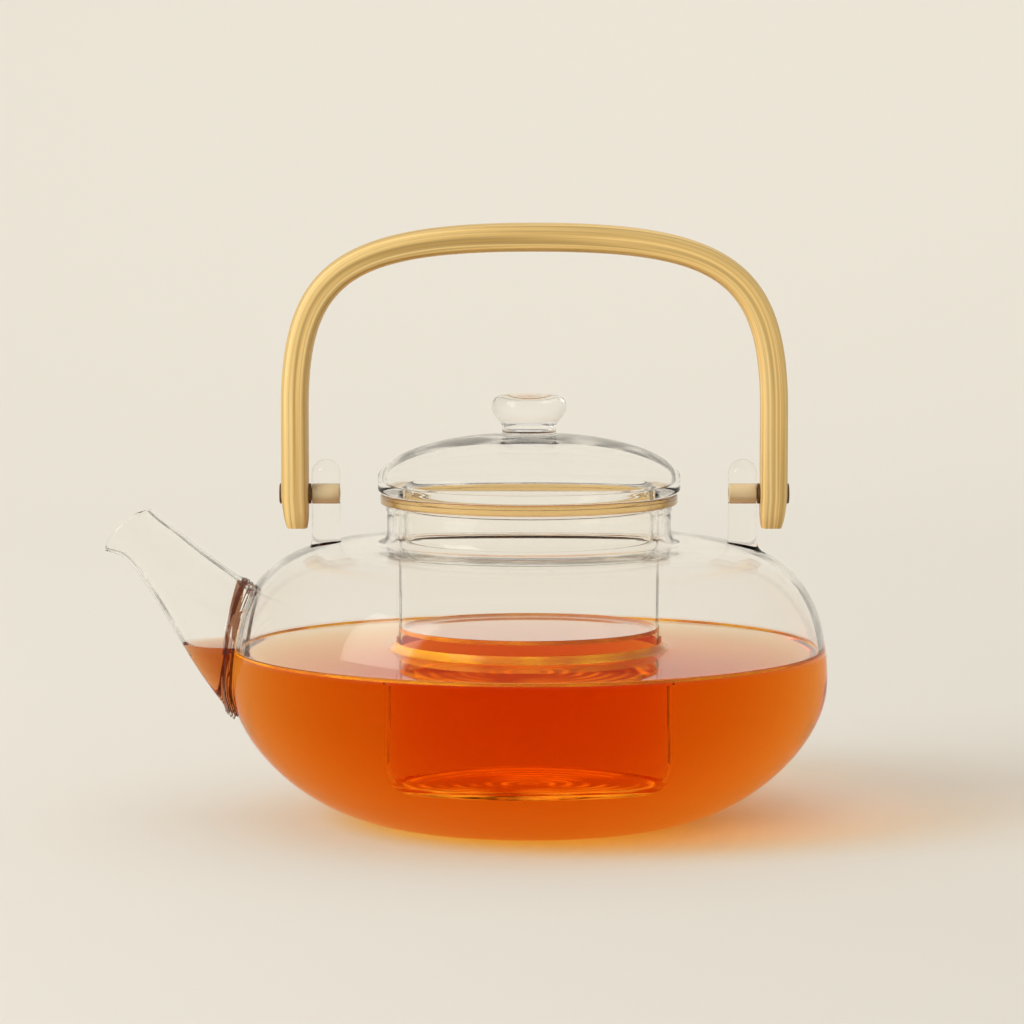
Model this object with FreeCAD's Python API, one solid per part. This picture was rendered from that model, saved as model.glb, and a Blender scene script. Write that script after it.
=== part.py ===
import FreeCAD, Part
import math
import os

os.makedirs("parts", exist_ok=True)

# Glass teapot with a bent bamboo bow handle and a lift-out glass infuser. Millimetres, +Z up.
# The origin is on the bowl's axis, on the plane it stands on. The spout points towards -X.

# Blown bowl: a flat base, a wide belly and a low shoulder that turns up into a short neck
base_r = 36.1
belly_r = 79.1
belly_z = 37.1
shoulder_z = 73.7
neck_r = 37.6
rim_z = 83.5
wall = 1.9
neck_fillet = 2.5
rim_bead_r = 1.15
# How far the outline runs on straight before it bends, at each end of its two curves
base_pull = 19.6
belly_pull_down = 17.9
belly_pull_up = 37.3
shoulder_pull = 13.0

# Spout: a tapered tube on a line that rises from the belly, with a flared lip
spout_rise = math.radians(48)
spout_root_x = -76.6
spout_root_z = 46.8
spout_wall = 1.2
# Along the line from the root point: distance, outer radius, and how far the lip droops there
spout_stations = (
    (-20, 13.2, 0),
    (-12, 14.5, 0),
    (0, 13.6, 0),
    (12, 11.5, 0),
    (22, 9.4, 0),
    (31, 8.0, 0),
    (38, 7.4, 0.7),
    (42.3, 8.3, 2.2),
)
root_ring_proud = 1.0
root_ring_width = 3.0

# Lugs: round-topped glass posts fused to the shoulder, each with a soft bush in its eye
bow_shift_x = 1.4
lug_x = 55.1
lug_r = 3.8
lug_top_z = 95.5
lug_foot_r = 6.2
pivot_z = 86.3
bush_r = 2.65
bush_length = 7.4

# Pivot pins: pressed into the bow's legs and free to turn in the bushes
pin_r = 1.5
pin_running_gap = 0.05
pin_head_r = 2.7
pin_head_t = 0.5
washer_gap = 0.1

# Bow: a flat bamboo strip bent to two legs and a squared arch
bow_half_span = 66.9
bow_leg_t = 7.2
bow_top_t = 7.6
bow_depth = 10.0
bow_foot_z = 77.3
bow_bend_z = 108.0
bow_top_z = 157.8
bow_outer_fullness = 0.784
bow_inner_fullness = 0.82
bow_edge_r = 2.2
bow_foot_taper = 1.1
bow_foot_taper_h = 8.0
bow_foot_edge_r = 0.8

# Infuser: a deep glass cup that hangs in the neck by its flange
infuser_r = 35.2
infuser_wall = 1.5
infuser_base_z = 13.0
infuser_corner_r = 6.0
flange_r = 38.2
flange_z = 83.55
flange_t = 1.5
strainer_hole_r = 0.75
strainer_ring_step = 6.0
strainer_rings = 4
strainer_holes_per_ring = 6

# Seal ring: soft L-section ring that caps the flange and carries the lid
seal_r = 39.3
seal_inner_r = 36.2
seal_foot_z = 83.7
seal_top_z = 86.4
seal_gap = 0.05
seal_edge_r = 0.4

# Lid: a full low dome with a rounded rim and a skirt that drops into the infuser
lid_r = 40.0
lid_z = 86.45
lid_rim_edge_r = 1.5
lid_rim_top_z = 90.6
lid_top_z = 101.9
lid_flat_r = 8.0
lid_t = 2.2
lid_rim_pull = 4.6
lid_crown_pull = 19.0
lid_crown_drop = 0.5
skirt_r = 33.3
skirt_t = 1.4
skirt_foot_z = 73.6
lid_inner_z = 94.0

# Knob: a hollow blown knob, flared like a cup, fused to the flat top of the dome
knob_foot_r = 7.4
knob_waist_r = 7.1
knob_r = 9.9
knob_waist_z = 103.4
knob_wide_z = 109.2
knob_top_z = 112.7
knob_crown_fullness = 0.8
knob_wall = 1.4


def at(r, z):
    """A point of a half outline, at radius r from the +Z axis."""
    return FreeCAD.Vector(r, 0, z)


def line(start, end):
    return Part.LineSegment(at(*start), at(*end)).toShape()


def arc(start, middle, end):
    return Part.Arc(at(*start), at(*middle), at(*end)).toShape()


def curve(*poles):
    """A smooth edge that leaves its first pole towards the second and arrives from the last but one."""
    bezier = Part.BezierCurve()
    bezier.setPoles([at(*pole) for pole in poles])
    return bezier.toShape()


def corner(centre, radius, angle):
    """The point of a circle at an angle in degrees, counted from outwards to up."""
    turn = math.radians(angle)
    return centre[0] + radius * math.cos(turn), centre[1] + radius * math.sin(turn)


def round_edge(centre, radius, start_angle, end_angle):
    middle_angle = (start_angle + end_angle) / 2
    angles = (start_angle, middle_angle, end_angle)
    return arc(*[corner(centre, radius, angle) for angle in angles])


def turned(edges):
    """The solid that a closed half outline sweeps round the +Z axis."""
    face = Part.Face(Part.Wire(Part.__sortEdges__(edges)))
    return face.revolve(FreeCAD.Vector(0, 0, 0), FreeCAD.Vector(0, 0, 1), 360)


def rod(radius, start_x, end_x):
    """A round rod on the pivot line, from one X to another."""
    low_x = min(start_x, end_x)
    base = FreeCAD.Vector(low_x, 0, pivot_z)
    return Part.makeCylinder(radius, abs(end_x - start_x), base, FreeCAD.Vector(1, 0, 0))


def bowl_outline(inset):
    """The bowl's outline from the axis at the base to the straight part of the neck, moved inwards."""
    half_inset = inset / 2
    base_end = (base_r, inset)
    belly = (belly_r - inset, belly_z)
    fillet_centre = (neck_r + neck_fillet, shoulder_z + neck_fillet)
    shoulder = (fillet_centre[0], shoulder_z - inset)
    shoulder_bend = (fillet_centre[0] + shoulder_pull, shoulder_z - inset)
    return [
        line((0, inset), base_end),
        curve(
            base_end,
            (base_r + base_pull - half_inset, inset),
            (belly[0], belly_z - belly_pull_down + half_inset),
            belly,
        ),
        curve(belly, (belly[0], belly_z + belly_pull_up - inset), shoulder_bend, shoulder),
        round_edge(fillet_centre, neck_fillet + inset, 270, 180),
    ]


def bowl_filled(grow):
    """The bowl with no hollow, grown by some millimetres, up to the rim."""
    neck = neck_r + grow
    edges = bowl_outline(-grow)
    edges.append(line((neck, shoulder_z + neck_fillet), (neck, rim_z)))
    edges.append(line((neck, rim_z), (0, rim_z)))
    edges.append(line((0, rim_z), (0, -grow)))
    return turned(edges)


def spout_tube(grow):
    """The spout's outer form as one closed solid, grown or shrunk in radius."""
    along = FreeCAD.Vector(-math.cos(spout_rise), 0, math.sin(spout_rise))
    down = FreeCAD.Vector(-math.sin(spout_rise), 0, -math.cos(spout_rise))
    root = FreeCAD.Vector(spout_root_x, 0, spout_root_z)
    rings = []
    for distance, radius, droop in spout_stations:
        centre = root + along * distance + down * droop
        ring = Part.Circle(centre, along, radius + grow).toShape()
        rings.append(Part.Wire(ring))
    return Part.makeLoft(rings, True)


def make_vessel_body():
    neck_inner_r = neck_r - wall
    neck_z = shoulder_z + neck_fillet
    bead_centre = ((neck_r + neck_inner_r) / 2, rim_z - rim_bead_r)
    bead_start = math.degrees(math.acos(wall / 2 / rim_bead_r))
    outer_end = corner(bead_centre, rim_bead_r, -bead_start)
    inner_end = corner(bead_centre, rim_bead_r, 180 + bead_start)
    edges = bowl_outline(0) + bowl_outline(wall)
    edges.append(line((neck_r, neck_z), outer_end))
    edges.append(round_edge(bead_centre, rim_bead_r, -bead_start, 180 + bead_start))
    edges.append(line(inner_end, (neck_inner_r, neck_z)))
    edges.append(line((0, 0), (0, wall)))
    return turned(edges).cut(spout_tube(-spout_wall))


def make_spout():
    return spout_tube(0).cut(spout_tube(-spout_wall)).cut(bowl_filled(0))


def make_spout_root_ring():
    """The thick bead of fused glass round the spout where it meets the belly."""
    proud = spout_tube(root_ring_proud).common(bowl_filled(root_ring_width))
    return proud.cut(spout_tube(0)).cut(bowl_filled(0))


def make_lug(side):
    """A post with a flared foot, cut to the shoulder it stands on, and an eye across it."""
    dome_z = lug_top_z - lug_r
    foot_z = shoulder_z - lug_foot_r
    flare_z = shoulder_z - lug_foot_r / 3
    waist_z = shoulder_z + lug_foot_r / 2
    edges = [
        line((0, foot_z), (lug_foot_r, foot_z)),
        line((lug_foot_r, foot_z), (lug_foot_r, flare_z)),
        curve((lug_foot_r, flare_z), (lug_r, flare_z), (lug_r, waist_z)),
        line((lug_r, waist_z), (lug_r, dome_z)),
        round_edge((0, dome_z), lug_r, 0, 90),
        line((0, lug_top_z), (0, foot_z)),
    ]
    post = turned(edges)
    post.translate(FreeCAD.Vector(bow_shift_x + side * lug_x, 0, 0))
    eye_start_x = bow_shift_x + side * (lug_x - lug_foot_r)
    eye_end_x = bow_shift_x + side * (lug_x + lug_foot_r)
    eye = rod(bush_r, eye_start_x, eye_end_x)
    return post.cut(bowl_filled(0)).cut(eye)


def make_bush(side):
    start_x = bow_shift_x + side * (lug_x - bush_length / 2)
    end_x = bow_shift_x + side * (lug_x + bush_length / 2)
    return rod(bush_r, start_x, end_x).cut(rod(pin_r + pin_running_gap, start_x, end_x))


def make_pin(side):
    """A pin with a domed head outside the leg. Its shank ends inside the bush."""
    leg_outer_x = bow_shift_x + side * bow_half_span
    inner_end_x = bow_shift_x + side * (lug_x - bush_length / 2 + pin_head_t)
    head_x = leg_outer_x + side * pin_head_t
    shank = rod(pin_r, leg_outer_x, inner_end_x)
    head = rod(pin_head_r, leg_outer_x, head_x)
    rim = [edge for edge in head.Edges if abs(edge.CenterOfMass.x - head_x) < pin_head_t / 2]
    head = head.makeFillet(pin_head_t * 0.7, [edge for edge in rim if edge.Closed])
    return shank.fuse(head).removeSplitter()


def make_washer(side):
    lug_face_x = bow_shift_x + side * (lug_x + lug_r + washer_gap)
    leg_face_x = bow_shift_x + side * (bow_half_span - bow_leg_t)
    return rod(pin_head_r, lug_face_x, leg_face_x).cut(rod(pin_r, lug_face_x, leg_face_x))


def bow_side_edges(side, half_span, top_z, fullness):
    """One leg's straight edge and its half of the arch, for the bow's outside or inside line."""
    rise = top_z - bow_bend_z
    start_z = bow_foot_z + bow_foot_taper_h
    return [
        line((side * half_span, start_z), (side * half_span, bow_bend_z)),
        curve(
            (side * half_span, bow_bend_z),
            (side * half_span, bow_bend_z + fullness * rise),
            (side * half_span * fullness, top_z),
            (0, top_z),
        ),
    ]


def make_handle_bow():
    inner_span = bow_half_span - bow_leg_t
    start_z = bow_foot_z + bow_foot_taper_h
    foot_r = bow_half_span - bow_foot_taper
    edges = []
    for side in (-1, 1):
        edges += bow_side_edges(side, bow_half_span, bow_top_z, bow_outer_fullness)
        edges += bow_side_edges(side, inner_span, bow_top_z - bow_top_t, bow_inner_fullness)
        edges.append(line((side * bow_half_span, start_z), (side * foot_r, bow_foot_z)))
        edges.append(line((side * foot_r, bow_foot_z), (side * inner_span, bow_foot_z)))
        edges.append(line((side * inner_span, bow_foot_z), (side * inner_span, start_z)))
    strip = Part.Face(Part.Wire(Part.__sortEdges__(edges)))
    strip.translate(FreeCAD.Vector(bow_shift_x, -bow_depth / 2, 0))
    bow = strip.extrude(FreeCAD.Vector(0, bow_depth, 0))
    feet = [edge for edge in bow.Edges if edge.BoundBox.ZMax < bow_foot_z + bow_foot_edge_r / 2]
    across = [edge for edge in feet if edge.BoundBox.YLength > bow_depth / 2]
    bow = bow.makeFillet(bow_foot_edge_r, across)
    sides = [edge for edge in bow.Edges if edge.BoundBox.YLength < bow_foot_edge_r / 2]
    bow = bow.makeFillet(bow_edge_r, sides)
    for side in (-1, 1):
        leg_x = bow_shift_x + side * bow_half_span
        bow = bow.cut(rod(pin_r, leg_x, leg_x - side * 2 * bow_leg_t))
    return bow


def make_infuser():
    inner_r = infuser_r - infuser_wall
    floor_z = infuser_base_z + infuser_wall
    corner_centre = (infuser_r - infuser_corner_r, infuser_base_z + infuser_corner_r)
    flange_centre = (flange_r - flange_t / 2, flange_z + flange_t / 2)
    top_z = flange_z + flange_t
    edges = [
        line((0, infuser_base_z), (corner_centre[0], infuser_base_z)),
        round_edge(corner_centre, infuser_corner_r, 270, 360),
        line((infuser_r, corner_centre[1]), (infuser_r, flange_z)),
        line((infuser_r, flange_z), (flange_centre[0], flange_z)),
        round_edge(flange_centre, flange_t / 2, -90, 90),
        line((flange_centre[0], top_z), (inner_r, top_z)),
        line((inner_r, top_z), (inner_r, corner_centre[1])),
        round_edge(corner_centre, infuser_corner_r - infuser_wall, 360, 270),
        line((corner_centre[0], floor_z), (0, floor_z)),
        line((0, floor_z), (0, infuser_base_z)),
    ]
    cup = turned(edges)
    holes = []
    for ring in range(1, strainer_rings + 1):
        count = ring * strainer_holes_per_ring
        for number in range(count):
            turn = 2 * math.pi * number / count
            ring_r = ring * strainer_ring_step
            foot = FreeCAD.Vector(ring_r * math.cos(turn), ring_r * math.sin(turn), infuser_base_z - 1)
            holes.append(Part.makeCylinder(strainer_hole_r, infuser_wall + 2, foot))
    return cup.cut(Part.makeCompound(holes))


def make_seal_ring():
    inner_foot_r = flange_r + seal_gap
    inner_z = flange_z + flange_t
    top_centre = (seal_r - seal_edge_r, seal_top_z - seal_edge_r)
    foot_centre = (seal_r - seal_edge_r, seal_foot_z + seal_edge_r)
    return turned([
        line((seal_inner_r, inner_z), (seal_inner_r, seal_top_z)),
        line((seal_inner_r, seal_top_z), (top_centre[0], seal_top_z)),
        round_edge(top_centre, seal_edge_r, 90, 0),
        line((seal_r, top_centre[1]), (seal_r, foot_centre[1])),
        round_edge(foot_centre, seal_edge_r, 0, -90),
        line((foot_centre[0], seal_foot_z), (inner_foot_r, seal_foot_z)),
        line((inner_foot_r, seal_foot_z), (inner_foot_r, inner_z)),
        line((inner_foot_r, inner_z), (seal_inner_r, inner_z)),
    ])


def make_lid():
    skirt_inner_r = skirt_r - skirt_t
    skirt_centre = (skirt_r - skirt_t / 2, skirt_foot_z + skirt_t / 2)
    low_edge = (lid_r - lid_rim_edge_r, lid_z + lid_rim_edge_r)
    inner_top_z = lid_top_z - lid_t
    return turned([
        round_edge(skirt_centre, skirt_t / 2, 180, 360),
        line((skirt_r, skirt_centre[1]), (skirt_r, lid_z)),
        line((skirt_r, lid_z), (low_edge[0], lid_z)),
        round_edge(low_edge, lid_rim_edge_r, -90, 0),
        line((lid_r, low_edge[1]), (lid_r, lid_rim_top_z)),
        curve(
            (lid_r, lid_rim_top_z),
            (lid_r, lid_rim_top_z + lid_rim_pull),
            (lid_flat_r + lid_crown_pull, lid_top_z - lid_crown_drop),
            (lid_flat_r, lid_top_z),
        ),
        line((lid_flat_r, lid_top_z), (0, lid_top_z)),
        line((0, lid_top_z), (0, inner_top_z)),
        line((0, inner_top_z), (lid_flat_r, inner_top_z)),
        curve(
            (lid_flat_r, inner_top_z),
            (lid_crown_pull, inner_top_z),
            (skirt_inner_r, lid_inner_z + lid_rim_pull / 2),
            (skirt_inner_r, lid_inner_z),
        ),
        line((skirt_inner_r, lid_inner_z), (skirt_inner_r, skirt_centre[1])),
    ])


def knob_outline(inset):
    """The knob's side from its foot to its crown, moved inwards."""
    foot_r = knob_foot_r - inset
    waist_r = knob_waist_r - inset
    wide_r = knob_r - inset
    top_z = knob_top_z - inset
    waist_pull = (knob_wide_z - knob_waist_z) / 2
    return [
        line((foot_r, lid_top_z), (waist_r, knob_waist_z)),
        curve(
            (waist_r, knob_waist_z),
            (waist_r, knob_waist_z + waist_pull),
            (wide_r, knob_wide_z - waist_pull),
            (wide_r, knob_wide_z),
        ),
        curve((wide_r, knob_wide_z), (wide_r, top_z), (wide_r * knob_crown_fullness, top_z), (0, top_z)),
    ]


def make_lid_knob():
    foot = line((knob_foot_r - knob_wall, lid_top_z), (knob_foot_r, lid_top_z))
    crown = line((0, knob_top_z - knob_wall), (0, knob_top_z))
    return turned(knob_outline(0) + knob_outline(knob_wall) + [foot, crown])


nodes = {
    "vessel_body": make_vessel_body(),
    "spout": make_spout(),
    "spout_root_ring": make_spout_root_ring(),
    "handle_bow": make_handle_bow(),
    "infuser": make_infuser(),
    "seal_ring": make_seal_ring(),
    "lid": make_lid(),
    "lid_knob": make_lid_knob(),
}
for side, place in ((-1, "spout_side"), (1, "back_side")):
    nodes["lug_" + place] = make_lug(side)
    nodes["bush_" + place] = make_bush(side)
    nodes["pin_" + place] = make_pin(side)
    nodes["washer_" + place] = make_washer(side)

for name, shape in nodes.items():
    box = shape.BoundBox
    print(f"{name}: solids {len(shape.Solids)}, valid {shape.isValid()}, {shape.Volume / 1000:.2f} cm3,",
          f"x {box.XMin:.1f} to {box.XMax:.1f}, z {box.ZMin:.1f} to {box.ZMax:.1f}")
    shape.exportStep("parts/" + name + ".step")
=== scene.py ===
import math

import bmesh
import bpy
from mathutils import Matrix, Vector


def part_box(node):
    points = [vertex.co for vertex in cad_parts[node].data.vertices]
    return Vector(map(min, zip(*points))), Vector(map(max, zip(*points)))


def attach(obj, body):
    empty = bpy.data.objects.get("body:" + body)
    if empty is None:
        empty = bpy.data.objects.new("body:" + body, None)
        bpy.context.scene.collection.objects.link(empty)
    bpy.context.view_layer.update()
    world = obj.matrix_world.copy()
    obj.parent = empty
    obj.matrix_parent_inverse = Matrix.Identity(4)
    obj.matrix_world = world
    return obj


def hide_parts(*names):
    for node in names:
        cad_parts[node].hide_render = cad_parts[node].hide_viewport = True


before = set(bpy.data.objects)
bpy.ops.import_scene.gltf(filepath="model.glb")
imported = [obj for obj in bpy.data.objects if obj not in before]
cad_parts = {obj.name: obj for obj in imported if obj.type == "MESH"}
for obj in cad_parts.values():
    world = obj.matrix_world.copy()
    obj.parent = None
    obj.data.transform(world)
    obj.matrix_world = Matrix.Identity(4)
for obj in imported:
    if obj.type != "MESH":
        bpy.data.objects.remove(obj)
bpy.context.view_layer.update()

MM = 0.001

# ---------------------------------------------------------------- sizes, in metres
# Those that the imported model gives
vessel_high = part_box("vessel_body")[1]
infuser_low, infuser_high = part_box("infuser")
seal_low, seal_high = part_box("seal_ring")
lid_low, lid_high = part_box("lid")
knob_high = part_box("lid_knob")[1]
bow_low, bow_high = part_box("handle_bow")
BELLY_R = vessel_high[0]
RIM_Z = vessel_high[2]
SEAL_R = seal_high[0]
LID_R = lid_high[0]
KNOB_R = knob_high[0]
BOW_X = (bow_low[0] + bow_high[0]) / 2
BOW_HALF_SPAN = (bow_high[0] - bow_low[0]) / 2
PIVOT_Z = sum(corner[2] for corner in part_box("pin_back_side")) / 2

# The bowl, as the design gives it
BASE_R = 36.1 * MM
BELLY_Z = 37.1 * MM
SHOULDER_Z = 73.7 * MM
NECK_R = 37.6 * MM
WALL = 1.9 * MM
NECK_FILLET = 2.5 * MM
BEAD_R = 1.15 * MM
BASE_PULL = 19.6 * MM
BELLY_PULL_DOWN = 17.9 * MM
BELLY_PULL_UP = 37.3 * MM
SHOULDER_PULL = 13.0 * MM

# The spout: a line from its root point, and the radius and droop along it
SPOUT_RISE = math.radians(48)
SPOUT_ROOT = Vector((-76.6 * MM, 0, 46.8 * MM))
SPOUT_ALONG = Vector((-math.cos(SPOUT_RISE), 0, math.sin(SPOUT_RISE)))
SPOUT_DOWN = Vector((-math.sin(SPOUT_RISE), 0, -math.cos(SPOUT_RISE)))
SPOUT_WALL = 1.2 * MM
SPOUT_LENGTH = 42.3
# (millimetres along the line, outer radius in millimetres), and the same for the lip's droop
SPOUT_RADII = (
    (-20, 13.2), (-12, 14.5), (0, 13.6), (12, 11.5), (22, 9.4), (31, 8.0), (38, 7.4), (SPOUT_LENGTH, 8.3),
)
SPOUT_DROOP = ((-20, 0), (31, 0), (38, 0.7), (SPOUT_LENGTH, 2.2))
COLLAR_PROUD = 0.9 * MM
COLLAR_MIDDLE = 1.6
COLLAR_HALF_WIDTH = 2.2
COLLAR_RIDGE = 0.14 * MM
COLLAR_RIDGE_STEP = 1.05
# The bands of the fused ring whose glass is tinted brown, as a painted reflection of the tea: from and to, in
# millimetres past the junction
RING_BANDS = ((0.35, 0.5), (1.15, 1.3), (2.2, 3.5))
RING_DEPTH = 0.35 * MM
# How far along the lip starts to bulge at its sides, in millimetres, and by how much it does
LIP_START = 27.0
LIP_BULGE = 2.0 * MM

# Lugs and bushes
LUG_X = 55.1 * MM
LUG_R = 3.8 * MM
LUG_TOP_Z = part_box("lug_back_side")[1][2]
LUG_FOOT_R = 6.2 * MM
LUG_FOOT_DEPTH = 6.0 * MM  # how far below the shoulder's top a foot reaches before it is cut to the bowl
BUSH_R = 2.65 * MM
BUSH_LENGTH = 7.4 * MM
PIN_R = 1.5 * MM
BUSH_EDGE = 0.6 * MM
ALONG_X = Matrix.Rotation(math.radians(90), 4, "Y")

# The bow. Its legs are straight up to the bend, and its top is one curve from bend to bend.
BOW_LEG_T = 7.2 * MM
BOW_TOP_T = 7.6 * MM
BOW_BEND_Z = 108.0 * MM
BOW_OUTER_FULL = 0.784
BOW_INNER_FULL = 0.82
BOW_TAPER = 1.1 * MM
BOW_TAPER_H = 8.0 * MM
BOW_LEG_SHARE = 0.14  # of half its length
BOW_SQUARENESS = 0.42  # 1 would make its section an ellipse, and 0 a sharp rectangle
BOW_END_ROUNDING = (0.135, 0.054, 0.0135)  # how much smaller its last sections are

# Infuser
INFUSER_R = 35.2 * MM
INFUSER_WALL = 1.5 * MM
INFUSER_CORNER = 6.0 * MM
FLANGE_T = 1.5 * MM
FLANGE_FILLET = 1.2 * MM
MOUTH_EDGE = 0.6 * MM
SEAL_WIDTH = 3.1 * MM
SEAL_EDGE = 0.5 * MM

# Lid and knob
SKIRT_R = 33.3 * MM
SKIRT_T = 1.4 * MM
SKIRT_FILLET = 0.8 * MM
LID_EDGE = 1.5 * MM
LID_RIM_TOP_Z = 90.6 * MM
LID_RIM_PULL = 4.6 * MM
LID_FLAT_R = 8.0 * MM
LID_CROWN_PULL = 19.0 * MM
LID_CROWN_DROP = 0.5 * MM
LID_TOP_Z = lid_high[2]
LID_T = 2.2 * MM
KNOB_FOOT_R = 7.4 * MM
KNOB_WAIST_R = 7.1 * MM
KNOB_WAIST_Z = 103.4 * MM
KNOB_WIDE_Z = 109.2 * MM
KNOB_CROWN_FULL = 0.8
KNOB_WALL = 1.4 * MM
FIT = 0.05 * MM  # the play between two pieces that touch

# The tea: its level in the bowl and in the infuser, and how far it climbs a wall
TEA_Z = 45.0 * MM
INFUSER_TEA_Z = 50.0 * MM
CLIMB = 1.1 * MM
CLIMB_REACH = 1.3 * MM
INFUSER_CLIMB = 2.0 * MM
SPOUT_TEA_Z = 46.6 * MM
# Tea reaches into the glass it wets, so that no air film shows between them. It nearly fills the bowl's
# and the spout's wall, because a filled vessel's wall can't be told from what it holds.
SEEP = 0.12 * MM
SKIN = 0.3 * MM

SEGMENTS = 256

# Glass: the height of its waviness and its waves to the metre, and what one surface of it leaves of a
# lamp's light
GLASS_WAVE = 0.03 * MM
GLASS_WAVE_SCALE = 35
DRY_SHADE = (0.80, 0.79, 0.77, 1)
WET_SHADE = (0.98, 0.98, 0.98, 1)
WHITE = (1, 1, 1, 1)
WARM = (1.0, 0.998, 0.990, 1)
AMBER_SHINE = (0.5, 0.4, 0.2, 1)

TEA_COLOUR = (0.958, 0.655, 0.0, 1)
TEA_SHADOW = (0.99, 0.96, 0.32, 1)  # what one surface of the tea leaves of a lamp's light

FLOOR_GAP = 0.15 * MM  # the base touches the floor only at high spots
SWEEP_FLOOR_R = 0.8
SWEEP_CURVE_R = 2.0

# The strength of the room's light: at the front and below, and at the sides, above and behind
ROOM_DIM = 0.35
ROOM_BRIGHT = 0.67


# ---------------------------------------------------------------- outlines, as (r, z) points
def cubic(poles, t):
    """The point of a cubic Bezier curve with four poles at a share of its way."""
    a, b, c, d = (1 - t) ** 3, 3 * t * (1 - t) ** 2, 3 * t * t * (1 - t), t ** 3
    p0, p1, p2, p3 = poles
    return tuple(a * p0[k] + b * p1[k] + c * p2[k] + d * p3[k] for k in range(len(p0)))


def bezier(p0, p1, p2, p3, count):
    return [cubic((p0, p1, p2, p3), i / count) for i in range(count + 1)]


def arc(centre, radius, start, end, count):
    """Points of a circle between two angles in degrees, counted from outwards to up."""
    turns = [math.radians(start + (end - start) * i / count) for i in range(count + 1)]
    return [(centre[0] + radius * math.cos(a), centre[1] + radius * math.sin(a)) for a in turns]


def chain(*runs):
    """Joins runs of points into one outline and drops repeated points."""
    outline = []
    for run in runs:
        for point in run:
            if not outline or math.dist(point, outline[-1]) > 1e-6:
                outline.append(point)
    return outline


def bowl_outline(inset):
    """The bowl from the axis at its base up to the straight part of its neck, moved inwards."""
    base_end = (BASE_R, inset)
    belly = (BELLY_R - inset, BELLY_Z)
    fillet = (NECK_R + NECK_FILLET, SHOULDER_Z + NECK_FILLET)
    shoulder = (fillet[0], SHOULDER_Z - inset)
    low_pull = (BASE_R + BASE_PULL - inset / 2, inset)
    down_pull = (belly[0], BELLY_Z - BELLY_PULL_DOWN + inset / 2)
    up_pull = (belly[0], BELLY_Z + BELLY_PULL_UP - inset)
    return chain(
        [(BASE_R * i / 8, inset) for i in range(9)],
        bezier(base_end, low_pull, down_pull, belly, 40),
        bezier(belly, up_pull, (fillet[0] + SHOULDER_PULL, shoulder[1]), shoulder, 56),
        arc(fillet, NECK_FILLET + inset, 270, 180, 12),
    )


def clipped(outline, z):
    """The part of a rising outline that lies below a height, ending on it."""
    kept = []
    for (r0, z0), (r1, z1) in zip(outline, outline[1:]):
        kept.append((r0, z0))
        if z1 >= z:
            share = (z - z0) / (z1 - z0)
            kept.append((r0 + (r1 - r0) * share, z))
            break
    return kept


BOWL_OUTSIDE = bowl_outline(0)


# ---------------------------------------------------------------- meshes
def new_object(name, data):
    obj = bpy.data.objects.new(name, data)
    bpy.context.scene.collection.objects.link(obj)
    return obj


def smooth(obj, angle=35):
    """Smooth shading, with a crease wherever two faces meet at more than an angle."""
    mesh = obj.data
    for polygon in mesh.polygons:
        polygon.use_smooth = True
    bm = bmesh.new()
    bm.from_mesh(mesh)
    limit = math.radians(angle)
    for edge in bm.edges:
        if len(edge.link_faces) == 2:
            edge.smooth = edge.calc_face_angle(0) < limit
    bm.to_mesh(mesh)
    bm.free()
    return obj


def mesh_object(name, bm):
    """A new object from a finished bmesh, with its faces turned outwards."""
    bmesh.ops.recalc_face_normals(bm, faces=bm.faces)
    mesh = bpy.data.meshes.new(name)
    bm.to_mesh(mesh)
    bm.free()
    return new_object(name, mesh)


def lathe(name, outline, segments=SEGMENTS):
    """The surface that an outline sweeps round +Z. An outline that starts off the axis is joined from
    its last point back to its first."""
    bm = bmesh.new()
    rings = []
    for r, z in outline:
        if r < 1e-7:
            rings.append([bm.verts.new((0, 0, z))])
            continue
        turns = [2 * math.pi * i / segments for i in range(segments)]
        rings.append([bm.verts.new((r * math.cos(a), r * math.sin(a), z)) for a in turns])
    pairs = list(zip(rings, rings[1:]))
    if len(rings[0]) > 1:
        pairs.append((rings[-1], rings[0]))
    for low, high in pairs:
        for i in range(segments):
            j = (i + 1) % segments
            if len(low) == 1 and len(high) == 1:
                continue
            if len(low) == 1:
                bm.faces.new((low[0], high[j], high[i]))
            elif len(high) == 1:
                bm.faces.new((low[i], low[j], high[0]))
            else:
                bm.faces.new((low[i], low[j], high[j], high[i]))
    return mesh_object(name, bm)


def skin(name, rings, closed_ends=True):
    """A surface through rings of points, each with the same count. Its ends are capped, or joined to
    each other when it has none."""
    bm = bmesh.new()
    loops = [[bm.verts.new(p) for p in ring] for ring in rings]
    count = len(loops[0])
    pairs = list(zip(loops, loops[1:]))
    if not closed_ends:
        pairs.append((loops[-1], loops[0]))
    for low, high in pairs:
        for i in range(count):
            j = (i + 1) % count
            bm.faces.new((low[i], low[j], high[j], high[i]))
    if closed_ends:
        for loop in (loops[0], loops[-1]):
            middle = bm.verts.new(sum((v.co for v in loop), Vector()) / count)
            for i in range(count):
                bm.faces.new((loop[i], loop[(i + 1) % count], middle))
    return mesh_object(name, bm)


def combine(target, tool, operation):
    """Adds the tool to the target, cuts it away or keeps what both hold, and removes the tool."""
    modifier = target.modifiers.new("combine", "BOOLEAN")
    modifier.operation = operation
    modifier.solver = "EXACT"
    modifier.object = tool
    graph = bpy.context.evaluated_depsgraph_get()
    mesh = bpy.data.meshes.new_from_object(target.evaluated_get(graph), depsgraph=graph)
    target.modifiers.clear()
    old = target.data
    target.data = mesh
    mesh.name = target.name
    bpy.data.meshes.remove(old)
    bpy.data.objects.remove(tool)
    return target


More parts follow.
